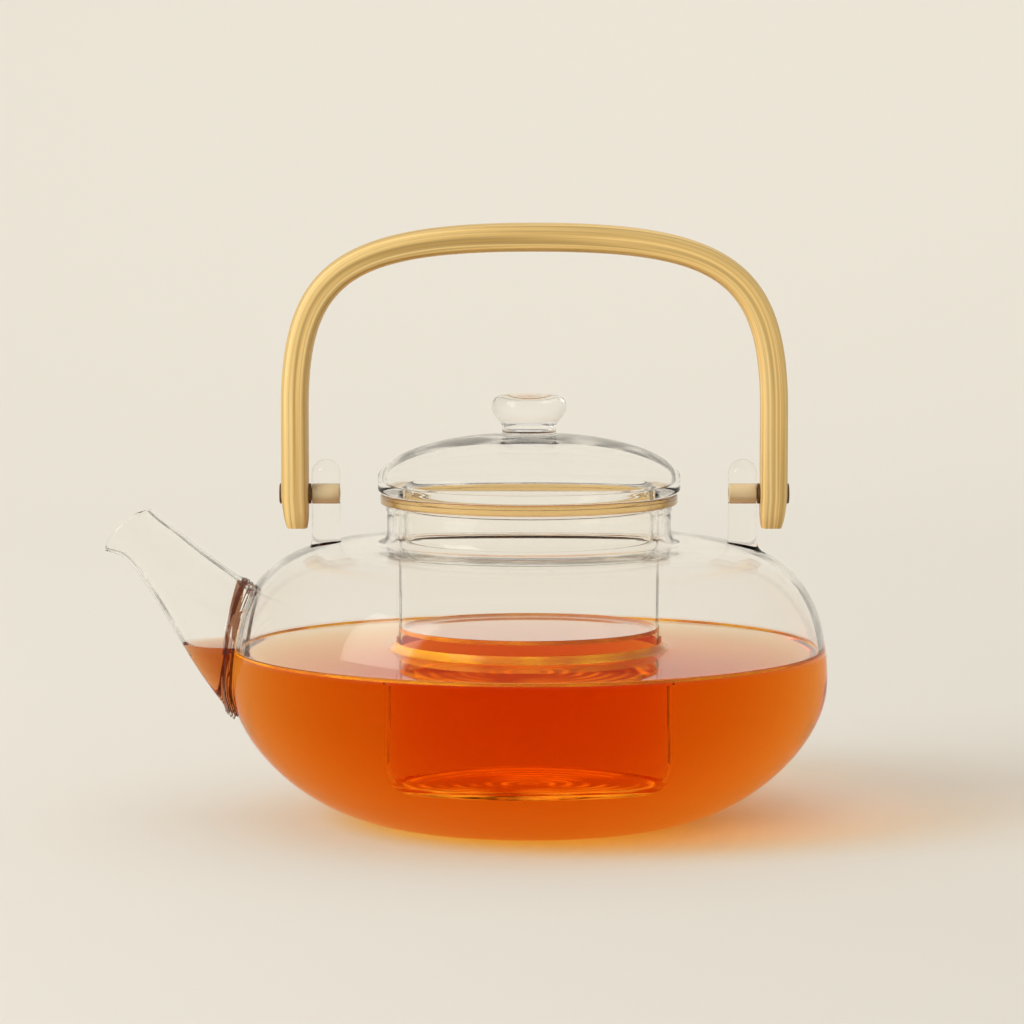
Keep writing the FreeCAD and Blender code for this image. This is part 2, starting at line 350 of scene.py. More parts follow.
def tidied(obj):
    """Joins the doubled points that a combination leaves and turns every face outwards."""
    bm = bmesh.new()
    bm.from_mesh(obj.data)
    bmesh.ops.remove_doubles(bm, verts=bm.verts, dist=2e-6)
    bmesh.ops.dissolve_degenerate(bm, edges=bm.edges, dist=1e-6)
    bmesh.ops.recalc_face_normals(bm, faces=bm.faces)
    bm.to_mesh(obj.data)
    bm.free()
    return obj


# ---------------------------------------------------------------- materials
def node(tree, kind, **inputs):
    """A new node, with its sockets set from values or linked from other sockets."""
    made = tree.nodes.new(kind)
    for key, value in inputs.items():
        socket = made.inputs[key.replace("_", " ")]
        if isinstance(value, bpy.types.NodeSocket):
            tree.links.new(value, socket)
        else:
            socket.default_value = value
    return made


def new_material(name):
    material = bpy.data.materials.new(name)
    material.use_nodes = True
    material.node_tree.nodes.clear()
    return material, material.node_tree


def noise_node(tree, place, scale, **inputs):
    return node(tree, "ShaderNodeTexNoise", Vector=place, Scale=scale, **inputs)


def object_place(tree):
    return tree.nodes.new("ShaderNodeTexCoord").outputs["Object"]


def remap(tree, value, start, end, low=0.0, high=1.0):
    """A value moved from one range to another."""
    sides = {"From_Min": start, "From_Max": end, "To_Min": low, "To_Max": high}
    return node(tree, "ShaderNodeMapRange", Value=value, **sides).outputs[0]


def times(tree, first, second):
    made = tree.nodes.new("ShaderNodeMath")
    made.operation = "MULTIPLY"
    tree.links.new(first, made.inputs[0])
    tree.links.new(second, made.inputs[1])
    return made.outputs[0]


def blend(tree, share, first, second):
    """The first shader, and the second by a share that is a number or a socket."""
    made = tree.nodes.new("ShaderNodeMixShader")
    if isinstance(share, float):
        made.inputs[0].default_value = share
    else:
        tree.links.new(share, made.inputs[0])
    tree.links.new(first, made.inputs[1])
    tree.links.new(second, made.inputs[2])
    return made.outputs[0]


def ramp(tree, value, *stops):
    """A colour for a value, from stops of (position, colour)."""
    made = tree.nodes.new("ShaderNodeValToRGB")
    tree.links.new(value, made.inputs[0])
    elements = made.color_ramp.elements
    (elements[0].position, elements[0].color), (elements[1].position, elements[1].color) = stops[:2]
    for position, colour in stops[2:]:
        elements.new(position).color = colour
    return made.outputs[0]


def output(tree, surface, volume=None):
    out = tree.nodes.new("ShaderNodeOutputMaterial")
    tree.links.new(surface, out.inputs["Surface"])
    if volume is not None:
        tree.links.new(volume, out.inputs["Volume"])


def lamp_clear(tree, surface, tint):
    """Lets lamps through a see-through surface in a straight line, so that its shadow is light."""
    path = tree.nodes.new("ShaderNodeLightPath")
    clear = node(tree, "ShaderNodeBsdfTransparent", Color=tint)
    return blend(tree, path.outputs["Is Shadow Ray"], surface, clear.outputs[0])


def ripple(tree, scale, height):
    """A faint waviness, as a normal."""
    noise = noise_node(tree, object_place(tree), scale, Detail=1.5)
    bump = node(tree, "ShaderNodeBump", Height=noise.outputs["Fac"], Distance=height, Strength=1.0)
    return bump.outputs["Normal"]


def glass_material(name, ior, tone, shine, coat, shade):
    """Clear glass: how much it bends light, its own tone, the tint of what it mirrors, its gloss and
    what one of its surfaces leaves of a lamp's light."""
    material, tree = new_material(name)
    glass = node(tree, "ShaderNodeBsdfPrincipled", Roughness=0.0, IOR=ior)
    glass.inputs["Base Color"].default_value = tone
    glass.inputs["Transmission Weight"].default_value = 1.0
    glass.inputs["Specular Tint"].default_value = shine
    glass.inputs["Coat Weight"].default_value = coat
    glass.inputs["Coat Roughness"].default_value = 0.02
    tree.links.new(ripple(tree, GLASS_WAVE_SCALE, GLASS_WAVE), glass.inputs["Normal"])
    output(tree, lamp_clear(tree, glass.outputs[0], shade))
    return material


def ringed_glass_material(name, step):
    """The infuser's base: clear glass with fine moulded rings, whose crests shine in the tea. A little
    light of their own stands in for what the rings gather."""
    material, tree = new_material(name)
    glass = node(tree, "ShaderNodeBsdfPrincipled", Roughness=0.05, IOR=1.2)
    glass.inputs["Base Color"].default_value = WHITE
    glass.inputs["Transmission Weight"].default_value = 1.0
    place = object_place(tree)
    rings = node(tree, "ShaderNodeTexWave", Vector=place, Scale=1 / (3.2 * step), Distortion=2.0)
    rings.wave_type = "RINGS"
    rings.rings_direction = "Z"
    crest = remap(tree, rings.outputs["Fac"], 0.45, 0.95, 0.0, 0.8)
    patches = noise_node(tree, place, 55.0, Detail=1.0)
    uneven = remap(tree, patches.outputs["Fac"], 0.4, 0.6)
    mirrored = node(tree, "ShaderNodeBsdfGlossy", Color=WHITE, Roughness=0.22)
    glow = node(tree, "ShaderNodeEmission", Color=(1.0, 0.90, 0.18, 1), Strength=0.55)
    shine = tree.nodes.new("ShaderNodeAddShader")
    tree.links.new(mirrored.outputs[0], shine.inputs[0])
    tree.links.new(glow.outputs[0], shine.inputs[1])
    surface = blend(tree, times(tree, crest, uneven), glass.outputs[0], shine.outputs[0])
    output(tree, lamp_clear(tree, surface, WET_SHADE))
    return material


def thin_tea_material():
    """The edge of the tea, where it is too thin to be red and glows golden."""
    material, tree = new_material("thin_tea")
    noise = noise_node(tree, object_place(tree), 60.0, Detail=2.0)
    tone = ramp(tree, noise.outputs["Fac"], (0.4, (0.80, 0.28, 0.02, 1)), (0.6, (1.0, 0.52, 0.03, 1)))
    edge = node(tree, "ShaderNodeBsdfPrincipled", Roughness=0.12, IOR=1.2, Base_Color=tone)
    edge.inputs["Transmission Weight"].default_value = 0.45
    output(tree, lamp_clear(tree, edge.outputs[0], (0.95, 0.85, 0.6, 1)))
    return material


def below(obj, level, other):
    """Gives the faces below a level another material, as wetted glass mirrors less than dry."""
    obj.data.materials.append(other)
    index = len(obj.data.materials) - 1
    for polygon in obj.data.polygons:
        if polygon.center.z < level:
            polygon.material_index = index


def level_mask(tree):
    """1 on the tea's level, 0 on its sides and underneath: flat faces above a height."""
    height = node(tree, "ShaderNodeSeparateXYZ", Vector=object_place(tree))
    high = remap(tree, height.outputs["Z"], TEA_Z - 1.5 * MM, TEA_Z - 1.0 * MM)
    shape = tree.nodes.new("ShaderNodeNewGeometry")
    facing = node(tree, "ShaderNodeSeparateXYZ", Vector=shape.outputs["True Normal"])
    upright = tree.nodes.new("ShaderNodeMath")
    upright.operation = "ABSOLUTE"
    tree.links.new(facing.outputs["Z"], upright.inputs[0])
    flat = remap(tree, upright.outputs[0], 0.3, 0.45)
    return times(tree, high, flat)


def bending(tree, bend):
    """How much the tea bends light: hardly at the infuser's wall, and the given amount further out."""
    flat = node(tree, "ShaderNodeVectorMath", Vector=object_place(tree))
    flat.operation = "MULTIPLY"
    flat.inputs[1].default_value = (1, 1, 0)
    radius = node(tree, "ShaderNodeVectorMath", Vector=flat.outputs[0])
    radius.operation = "LENGTH"
    return remap(tree, radius.outputs["Value"], INFUSER_R + 0.5 * MM, INFUSER_R + 2.5 * MM, 1.005, bend)


def tea_material(name, colour, density, shadow, bend, gloss=0.0, round_infuser=False):
    """Tea: clear and deeply coloured. Its sides, against the glass, bend light and hardly mirror any,
    and its level is shiny. Tea round the infuser hardly bends light there."""
    material, tree = new_material(name)
    if round_infuser:
        bend = bending(tree, bend)
    only_bent = node(tree, "ShaderNodeBsdfRefraction", Roughness=0.0, IOR=bend)
    part_mirrored = node(tree, "ShaderNodeBsdfGlass", Roughness=0.0, IOR=bend, Color=(1.0, 0.75, 0.55, 1))
    sides = blend(tree, 0.3, only_bent.outputs[0], part_mirrored.outputs[0])
    level = node(tree, "ShaderNodeBsdfPrincipled", Roughness=0.0, IOR=1.18)
    level.inputs["Coat Weight"].default_value = gloss
    level.inputs["Base Color"].default_value = WHITE
    level.inputs["Transmission Weight"].default_value = 1.0
    level.inputs["Specular Tint"].default_value = (0.5, 0.3, 0.1, 1)
    surface = blend(tree, level_mask(tree), sides, level.outputs[0])
    depth = node(tree, "ShaderNodeVolumeAbsorption", Color=colour, Density=density)
    output(tree, lamp_clear(tree, surface, shadow), depth.outputs[0])
    return material


# ---------------------------------------------------------------- the glass pot
def neck_outline():
    """The whole wall of the bowl as one closed outline: outside, rounded rim, inside."""
    inner_r = NECK_R - WALL
    centre = ((NECK_R + inner_r) / 2, RIM_Z - BEAD_R)
    start = math.degrees(math.acos(WALL / 2 / BEAD_R))
    outside = bowl_outline(0)
    inside = bowl_outline(WALL)
    return chain(outside, arc(centre, BEAD_R, -start, 180 + start, 20), inside[::-1])


def filled_bowl(name, inset):
    """The bowl's outer or inner form as a solid, up past the rim."""
    outline = bowl_outline(inset)
    top = RIM_Z + 5 * MM
    return lathe(name, outline + [(outline[-1][0], top), (0, top)])


def through(stations, s):
    """A smooth curve through a few (place, value) stations, read at one place."""
    last = len(stations) - 2
    i = max(0, min(last, sum(1 for place, _ in stations[1:] if place <= s)))
    (s0, v0), (s1, v1) = stations[i], stations[i + 1]
    before = stations[max(i - 1, 0)]
    after = stations[min(i + 2, last + 1)]
    slope0 = (v1 - before[1]) / (s1 - before[0])
    slope1 = (after[1] - v0) / (after[0] - s0)
    t = (s - s0) / (s1 - s0)
    span = s1 - s0
    return (
        (2 * t ** 3 - 3 * t * t + 1) * v0 + (t ** 3 - 2 * t * t + t) * span * slope0
        + (3 * t * t - 2 * t ** 3) * v1 + (t ** 3 - t * t) * span * slope1
    )


def spout_point(s, turn, inset=0.0, swell=0.0):
    """A point on the spout's surface: s along its line, and a turn round it from its underside.
    The lip is rounded, so the outside and the bore meet at its crest."""
    half_wall = SPOUT_WALL / 2
    past = max(0.0, min(half_wall, (s - SPOUT_LENGTH) * MM + half_wall))
    rounding = half_wall - math.sqrt(half_wall ** 2 - past ** 2)
    radius = through(SPOUT_RADII, s) * MM + swell - inset
    radius += rounding if inset else -rounding
    curl = max(0.0, (s - LIP_START) / (SPOUT_LENGTH - LIP_START)) ** 2 * LIP_BULGE * math.sin(turn) ** 2
    centre = SPOUT_ROOT + SPOUT_ALONG * (s * MM + curl) + SPOUT_DOWN * (through(SPOUT_DROOP, s) * MM)
    return centre + SPOUT_DOWN * (radius * math.cos(turn)) + Vector((0, radius * math.sin(turn), 0))


def bowl_radius(z):
    """The bowl's outer radius at a height."""
    for (r0, z0), (r1, z1) in zip(BOWL_OUTSIDE, BOWL_OUTSIDE[1:]):
        if z0 <= z <= z1 and z1 > z0:
            return r0 + (r1 - r0) * (z - z0) / (z1 - z0)
    return 0.0


def junction(turn):
    """How far along the spout its surface comes out of the bowl, at a turn round it."""
    low, high = -14.0, 30.0
    for _ in range(30):
        middle = (low + high) / 2
        point = spout_point(middle, turn)
        if math.hypot(point.x, point.y) < bowl_radius(point.z):
            low = middle
        else:
            high = middle
    return (low + high) / 2


def collar(distance):
    """The ridged swelling of fused glass round the spout's root, from the distance to the junction."""
    swell = 1 / (1 + ((distance - COLLAR_MIDDLE) / COLLAR_HALF_WIDTH) ** 6)
    return swell * (COLLAR_PROUD + COLLAR_RIDGE * math.cos(2 * math.pi * distance / COLLAR_RIDGE_STEP))


def spout_skin(name, inset, start, end, count=110, around=128):
    turns = [2 * math.pi * k / around for k in range(around)]
    roots = [junction(turn) for turn in turns]
    rings = []
    for i in range(count + 1):
        s = start + (end - start) * i / count
        swell = [collar(s - root) * (-0.4 if inset else 1.0) for root in roots]
        rings.append([spout_point(s, turn, inset, swell[k]) for k, turn in enumerate(turns)])
    return skin(name, rings)


def make_ring_band(name, start, end):
    """A band of the fused ring, standing just proud of it, that carries a brown tint as a painted reflection
    of the tea.
    """
    around = 192
    rings = []
    for k in range(around):
        turn = 2 * math.pi * k / around
        root = junction(turn)
        section = []
        for distance, inset in (
            (start, RING_DEPTH), (start, -0.01 * MM), ((start + end) / 2, -0.04 * MM),
            (end, -0.01 * MM), (end, RING_DEPTH),
        ):
            section.append(spout_point(root + distance, turn, 0, collar(distance) - inset))
        rings.append(section)
    return smooth(skin(name, rings, closed_ends=False), 50)


def make_lug(side):
    """A round-topped glass post with a flared foot, and an eye across it for the bush."""
    dome_z = LUG_TOP_Z - LUG_R
    foot_z = SHOULDER_Z - LUG_FOOT_DEPTH
    outline = chain(
        [(0, foot_z), (LUG_FOOT_R, foot_z)],
        bezier(
            (LUG_FOOT_R, SHOULDER_Z - 3.2 * MM),
            (LUG_R + 0.4 * MM, SHOULDER_Z - 2.4 * MM),
            (LUG_R, SHOULDER_Z - 1 * MM),
            (LUG_R, SHOULDER_Z + 2 * MM),
            16,
        ),
        arc((0, dome_z), LUG_R, 0, 90, 24),
    )
    outline[-1] = (0, LUG_TOP_Z)
    post = lathe("post", outline, 96)
    post.data.transform(Matrix.Translation((BOW_X + side * LUG_X, 0, 0)))
    combine(post, filled_bowl("hollow", WALL / 2), "DIFFERENCE")
    eye = lathe("eye", [(0, -8 * MM), (BUSH_R, -8 * MM), (BUSH_R, 8 * MM), (0, 8 * MM)], 64)
    eye.data.transform(Matrix.Translation((BOW_X + side * LUG_X, 0, PIVOT_Z)) @ ALONG_X)
    return combine(post, eye, "DIFFERENCE")


def make_pot():
    pot = lathe("pot_glass", neck_outline())
    tube = spout_skin("tube", 0, -14, SPOUT_LENGTH)
    combine(tube, filled_bowl("hollow", WALL / 2), "DIFFERENCE")
    combine(pot, tube, "UNION")
    combine(pot, spout_skin("bore", SPOUT_WALL, -18, SPOUT_LENGTH + 2), "DIFFERENCE")
    for side in (-1, 1):
        combine(pot, make_lug(side), "UNION")
    return smooth(tidied(pot))


# ---------------------------------------------------------------- the other glass
def make_infuser():
    """A deep cup with a rounded corner and a flange that hangs on the neck."""
    inner_r = INFUSER_R - INFUSER_WALL
    base_z = infuser_low[2]
    top_z = infuser_high[2]
    flange_r = infuser_high[0]
    centre = (INFUSER_R - INFUSER_CORNER, base_z + INFUSER_CORNER)
    edge = (flange_r - FLANGE_T / 2, top_z - FLANGE_T / 2)
    under_flange = (INFUSER_R + FLANGE_FILLET, top_z - FLANGE_T - FLANGE_FILLET)
    cup = lathe("infuser_glass", chain(
        [(centre[0] * i / 12, base_z) for i in range(13)],
        arc(centre, INFUSER_CORNER, 270, 360, 24),
        arc(under_flange, FLANGE_FILLET, 180, 90, 6),
        arc(edge, FLANGE_T / 2, -90, 90, 12),
        arc((inner_r + MOUTH_EDGE, top_z - MOUTH_EDGE), MOUTH_EDGE, 90, 180, 6),
        arc(centre, INFUSER_CORNER - INFUSER_WALL, 360, 270, 20),
        [(centre[0] * i / 12, base_z + INFUSER_WALL) for i in range(12, -1, -1)],
    ))
    return smooth(tidied(cup))


def make_seal():
    """The soft ring between neck and lid, with a step that caps the infuser's flange."""
    foot_r = infuser_high[0] + FIT
    inner_r = SEAL_R - SEAL_WIDTH
    step_z = infuser_high[2]
    edge = SEAL_EDGE
    ring = lathe("seal", chain(
        arc((inner_r + edge, seal_high[2] - edge), edge, 180, 90, 5),
        arc((SEAL_R - edge, seal_high[2] - edge), edge, 90, 0, 6),
        arc((SEAL_R - edge, seal_low[2] + edge), edge, 0, -90, 6),
        [(foot_r, seal_low[2]), (foot_r, step_z), (inner_r, step_z)],
    ))
    return smooth(ring)


def knob_side(inset):
    """The knob from its waist to its crown, moved inwards."""
    waist = (KNOB_WAIST_R - inset, KNOB_WAIST_Z)
    wide = (KNOB_R - inset, KNOB_WIDE_Z)
    top = (0, knob_high[2] - inset)
    pull = (KNOB_WIDE_Z - KNOB_WAIST_Z) / 2
    return chain(
        bezier(waist, (waist[0], waist[1] + pull), (wide[0], wide[1] - pull), wide, 20),
        bezier(wide, (wide[0], top[1]), (wide[0] * KNOB_CROWN_FULL, top[1]), top, 28),
    )


def make_lid():
    """The lid and its knob, which are one piece of fused glass with a bubble in the knob."""
    skirt_in = SKIRT_R - SKIRT_T
    skirt_end = (SKIRT_R - SKIRT_T / 2, lid_low[2] + SKIRT_T / 2)
    rim_low_z = seal_high[2] + FIT
    low = (LID_R - LID_EDGE, rim_low_z + LID_EDGE)
    under_z = LID_TOP_Z - LID_T
    rim_in = LID_R - LID_T
    floor_z = rim_low_z + LID_T
    lid = lathe("lid_glass", chain(
        [(LID_FLAT_R * i / 4, under_z) for i in range(5)],
        bezier(
            (LID_FLAT_R, under_z),
            (LID_FLAT_R + LID_CROWN_PULL - LID_T / 2, under_z - LID_CROWN_DROP),
            (rim_in, LID_RIM_TOP_Z + LID_RIM_PULL - LID_T / 2),
            (rim_in, LID_RIM_TOP_Z),
            60,
        ),
        arc((rim_in - LID_EDGE, floor_z + LID_EDGE), LID_EDGE, 0, -90, 10),
        arc((skirt_in + LID_EDGE, floor_z - LID_EDGE), LID_EDGE, 90, 180, 10),
        arc(skirt_end, SKIRT_T / 2, 180, 360, 14),
        arc((SKIRT_R + SKIRT_FILLET, rim_low_z - SKIRT_FILLET), SKIRT_FILLET, 180, 90, 6),
        arc(low, LID_EDGE, -90, 0, 12),
        bezier(
            (LID_R, LID_RIM_TOP_Z),
            (LID_R, LID_RIM_TOP_Z + LID_RIM_PULL),
            (LID_FLAT_R + LID_CROWN_PULL, LID_TOP_Z - LID_CROWN_DROP),
            (LID_FLAT_R + 0.6 * MM, LID_TOP_Z),
            72,
        ),
        bezier(
            (LID_FLAT_R + 0.6 * MM, LID_TOP_Z),
            (KNOB_FOOT_R - 0.1 * MM, LID_TOP_Z),
            (KNOB_WAIST_R + 0.1 * MM, LID_TOP_Z + 0.4 * MM),
            (KNOB_WAIST_R, KNOB_WAIST_Z),
            12,
        ),
        knob_side(0),
    ))
    floor_of_bubble = KNOB_WAIST_Z - 0.4 * MM
    corner_of_bubble = ((KNOB_WAIST_R - KNOB_WALL) * 0.8, floor_of_bubble)
    bubble = lathe("bubble", chain([(0, floor_of_bubble), corner_of_bubble], knob_side(KNOB_WALL)), 128)
    combine(lid, bubble, "DIFFERENCE")
    return smooth(tidied(lid))


# ---------------------------------------------------------------- tea
def tea_surface(inner_r, outer_r, level, inner_climb=0.0, outer_climb=CLIMB):
    """The tea's top from its outer contact in to its inner one. Walls pull it up at each."""
    points = []
    count = 72
    for i in range(count + 1):
        eased = 0.5 + 0.5 * math.cos(math.pi * i / count)
        r = inner_r + (outer_r - inner_r) * eased
        rise = outer_climb * math.exp((r - outer_r) / CLIMB_REACH)
        rise += inner_climb * math.exp((inner_r - r) / CLIMB_REACH)
        points.append((r, level + rise))
    return points


def make_bowl_tea():
    """The tea between the bowl and the infuser."""
    wet = clipped(bowl_outline(SKIN), TEA_Z + CLIMB)
    around = INFUSER_R - SEEP
    corner = INFUSER_CORNER - SEEP
    centre = (INFUSER_R - INFUSER_CORNER, infuser_low[2] + INFUSER_CORNER)
    tea = lathe("tea_in_bowl", chain(
        wet,
        tea_surface(around, wet[-1][0], TEA_Z, INFUSER_CLIMB),
        arc(centre, corner, 360, 270, 20),
        [(centre[0] * i / 8, infuser_low[2] + SEEP) for i in range(8, -1, -1)],
    ))
    return smooth(tea, 30)


def make_spout_tea():
    """The tea in the spout, from the bowl's wall up to its own level."""
    arm = spout_skin("tea_in_spout", SKIN, -16, 24)
    combine(arm, filled_bowl("hollow", SKIN / 2), "DIFFERENCE")
    above = skin("above", [
        [(-0.2, -0.1, z), (0.2, -0.1, z), (0.2, 0.1, z), (-0.2, 0.1, z)] for z in (SPOUT_TEA_Z, 0.3)
    ])
    combine(arm, above, "DIFFERENCE")
    return smooth(tidied(arm), 30)


def make_tea_edge(name, wall_r, level, rise, reach, drop):
    """The ring of thin tea against a wall. It lies outside the wall for a positive reach, and inside it
    for a negative one, and its face hollows up the wall."""
    outline = [(wall_r, level - drop), (wall_r + reach, level - drop)]
    for i in range(13):
        t = i / 12
        outline.append((wall_r + reach * (1 - t), level + rise * t ** 2.2))
    return smooth(lathe(name, chain(outline)), 40)


def make_infuser_tea():
    """The tea inside the infuser, which stands higher than in the bowl."""
    inner_r = INFUSER_R - INFUSER_WALL + SEEP
    base_z = infuser_low[2] + INFUSER_WALL - SEEP
    centre = (INFUSER_R - INFUSER_CORNER, infuser_low[2] + INFUSER_CORNER)
    corner = INFUSER_CORNER - INFUSER_WALL + SEEP
    return smooth(lathe("tea_in_infuser", chain(
        [(centre[0] * i / 8, base_z) for i in range(9)],
        arc(centre, corner, 270, 360, 20),
        tea_surface(0, inner_r, INFUSER_TEA_Z),
    )), 30)


# ---------------------------------------------------------------- bow, bushes and pins
def bow_lines(share):
    """The bow's outer and inner point in its own plane, at a share of the way from foot to foot."""
    side = -1 if share < 0.5 else 1
    half = 2 * (0.5 - abs(share - 0.5))
    outer_span, inner_span = BOW_HALF_SPAN, BOW_HALF_SPAN - BOW_LEG_T
    if half < BOW_LEG_SHARE:
        z = bow_low[2] + (BOW_BEND_Z - bow_low[2]) * half / BOW_LEG_SHARE
        taper = max(0.0, 1 - (z - bow_low[2]) / BOW_TAPER_H) * BOW_TAPER
        return (side * (outer_span - taper), z), (side * inner_span, z)
    t = (half - BOW_LEG_SHARE) / (1 - BOW_LEG_SHARE)
    points = []
    for span, top, full in (
        (outer_span, bow_high[2], BOW_OUTER_FULL),
        (inner_span, bow_high[2] - BOW_TOP_T, BOW_INNER_FULL),
    ):
        rise = top - BOW_BEND_Z
        x, z = cubic([(span, 0), (span, full * rise), (full * span, rise), (0, rise)], t)
        points.append((side * x, BOW_BEND_Z + z))
    return points


def make_bow():
    """The bent strip. Each of its points keeps where it lies in the strip: along, through and across."""
    count, around = 320, 64
    half_depth = bow_high[1]
    rings, facts = [], []
    along = 0.0
    previous = None
    for i in range(count + 1):
        outer, inner = (Vector((p[0], 0, p[1])) for p in bow_lines(i / count))
        centre = (outer + inner) / 2
        half = (outer - inner) / 2
        if previous is not None:
            along += (centre - previous).length
        previous = centre
        step = min(i, count - i)
        size = 1 - BOW_END_ROUNDING[step] if step < len(BOW_END_ROUNDING) else 1.0
        ring = []
        for k in range(around):
            u, v = (
                math.copysign(abs(turn) ** BOW_SQUARENESS, turn)
                for turn in (math.cos(2 * math.pi * k / around), math.sin(2 * math.pi * k / around))
            )
            ring.append(centre + half * u * size + Vector((BOW_X, half_depth * v * size, 0)))
            facts.append((along, u * half.length, v * half_depth))
        rings.append(ring)
    bow = skin("bamboo_bow", rings)
    facts += [(0.0, 0.0, 0.0), (along, 0.0, 0.0)]
    layer = bow.data.attributes.new("strip", "FLOAT_VECTOR", "POINT")
    for i, values in enumerate(facts):
        layer.data[i].vector = values
    return smooth(bow, 50)


def make_bush(side):
    """A soft sleeve across a lug, with rounded ends and the pin's bore."""
    half = BUSH_LENGTH / 2
    edge = BUSH_EDGE
    middle_r = BUSH_R + 0.04 * MM - edge
    outline = chain(
        arc((middle_r, half - edge), edge, 0, 90, 6),
        [(PIN_R + FIT, half), (PIN_R + FIT, -half)],
        arc((middle_r, edge - half), edge, -90, 0, 6),
    )
    place = "spout_side" if side < 0 else "back_side"
    bush = lathe("sleeve_" + place, outline, 96)
    bush.data.transform(Matrix.Translation((BOW_X + side * LUG_X, 0, PIVOT_Z)) @ ALONG_X)
    return smooth(bush)


# ---------------------------------------------------------------- more materials
def silicone_material(name, tone, clearness):
    """Soft silicone with a faint unevenness, which lets some of a lamp's light through."""
    material, tree = new_material(name)
    soft = node(tree, "ShaderNodeBsdfPrincipled", Roughness=0.15, IOR=1.35)
    soft.inputs["Base Color"].default_value = tone
    soft.inputs["Transmission Weight"].default_value = clearness
    tree.links.new(ripple(tree, 900, 0.04 * MM), soft.inputs["Normal"])
    output(tree, lamp_clear(tree, soft.outputs[0], (0.80, 0.55, 0.25, 1)))
    return material


def bamboo_material():
    """Pale bamboo with fibre bundles and seams that run along the strip, a wavering tone and a waxed skin."""
    material, tree = new_material("bamboo")
    strip = tree.nodes.new("ShaderNodeAttribute")
    strip.attribute_name = "strip"

    def stretched(along, across):
        """The strip's own coordinates, drawn out along it."""
        made = node(tree, "ShaderNodeMapping", Vector=strip.outputs["Vector"])
        made.inputs["Scale"].default_value = (along, across, across)
        return made.outputs[0]

    wander = noise_node(tree, stretched(6, 420), 1.0, Detail=3.0, Roughness=0.6)
    fibres = noise_node(tree, stretched(9, 1250), 1.0, Detail=2.0)
    seams = node(tree, "ShaderNodeTexWave", Vector=stretched(5, 200), Scale=1.0, Distortion=3.0, Detail=2.0)
    seams.bands_direction = "Y"
    tone = ramp(
        tree, wander.outputs["Fac"],
        (0.34, (0.47, 0.295, 0.080, 1)), (0.50, (0.80, 0.54, 0.190, 1)), (0.68, (0.93, 0.69, 0.300, 1)),
    )
    streak = remap(tree, fibres.outputs["Fac"], 0.36, 0.56, 0.76, 1.06)
    line = remap(tree, seams.outputs["Fac"], 0.02, 0.20, 0.84, 1.0)
    dark = tree.nodes.new("ShaderNodeMix")
    dark.data_type = "RGBA"
    dark.blend_type = "MULTIPLY"
    dark.inputs[0].default_value = 1.0
    tree.links.new(tone, dark.inputs[6])
    tree.links.new(times(tree, streak, line), dark.inputs[7])
    rough = remap(tree, fibres.outputs["Fac"], 0.0, 1.0, 0.36, 0.58)
    bump = node(tree, "ShaderNodeBump", Height=wander.outputs["Fac"], Distance=0.3 * MM, Strength=0.6)
    wood = node(tree, "ShaderNodeBsdfPrincipled", Roughness=rough, Normal=bump.outputs[0])
    tree.links.new(dark.outputs[2], wood.inputs["Base Color"])
    wood.inputs["Coat Weight"].default_value = 0.05
    wood.inputs["Coat Roughness"].default_value = 0.3
    output(tree, wood.outputs[0])
    return material


def pin_material():
    """Brown metal, mottled and half dull."""
    material, tree = new_material("bronzed_pin")
    noise = noise_node(tree, object_place(tree), 900.0, Detail=4.0)
    tone = ramp(tree, noise.outputs["Fac"], (0.0, (0.075, 0.038, 0.016, 1)), (1.0, (0.20, 0.11, 0.05, 1)))
    rough = remap(tree, noise.outputs["Fac"], 0.0, 1.0, 0.25, 0.5)
    metal = node(tree, "ShaderNodeBsdfPrincipled", Roughness=rough, Metallic=0.6, Base_Color=tone)
    output(tree, metal.outputs[0])
    return material


def backdrop_material():
    """Matt cream paper."""
    material, tree = new_material("backdrop")
    paper = node(tree, "ShaderNodeBsdfPrincipled", Roughness=0.9)
    paper.inputs["Base Color"].default_value = (0.80, 0.765, 0.69, 1)
    paper.inputs["Specular IOR Level"].default_value = 0.2
    output(tree, paper.outputs[0])
    return material


# ---------------------------------------------------------------- stage, lights, camera
def make_stage():
    """A round sweep of paper: a flat floor that turns up into a wall on every side."""
    outline = [(SWEEP_FLOOR_R * i / 8, -FLOOR_GAP) for i in range(9)]
    outline += arc((SWEEP_FLOOR_R, SWEEP_CURVE_R - FLOOR_GAP), SWEEP_CURVE_R, 270, 340, 60)[1:]
    sweep = smooth(lathe("sweep", outline, 128))
    sweep.data.materials.append(backdrop_material())


def area_light(name, place, target, size, power, spread):
    """A soft box that the camera doesn't see."""
    lamp = bpy.data.lights.new(name, "AREA")
    lamp.shape = "RECTANGLE"
    lamp.size, lamp.size_y = size
    lamp.energy = power
    lamp.color = (1.0, 0.99, 0.97)
    lamp.spread = math.radians(spread)
    obj = new_object(name, lamp)
    obj.location = place
    obj.rotation_euler = (Vector(target) - Vector(place)).to_track_quat("-Z", "Y").to_euler()
    obj.visible_camera = False


def room_light(tree):
    """A room that is bright to the sides, above and behind the object and dimmer in front of it."""
    sky = tree.nodes["Background"]
    place = tree.nodes.new("ShaderNodeTexCoord")
    lean = tree.nodes.new("ShaderNodeVectorMath")
    lean.operation = "DOT_PRODUCT"
    tree.links.new(place.outputs["Generated"], lean.inputs[0])
    lean.inputs[1].default_value = (0, 0.6, 0.8)
    level = node(
        tree, "ShaderNodeMapRange", Value=lean.outputs["Value"],
        From_Min=-0.9, From_Max=0.1, To_Min=ROOM_DIM, To_Max=ROOM_BRIGHT,
    )
    level.interpolation_type = "SMOOTHSTEP"
    sky.inputs["Color"].default_value = (1.0, 0.98, 0.95, 1)
    tree.links.new(level.outputs[0], sky.inputs["Strength"])


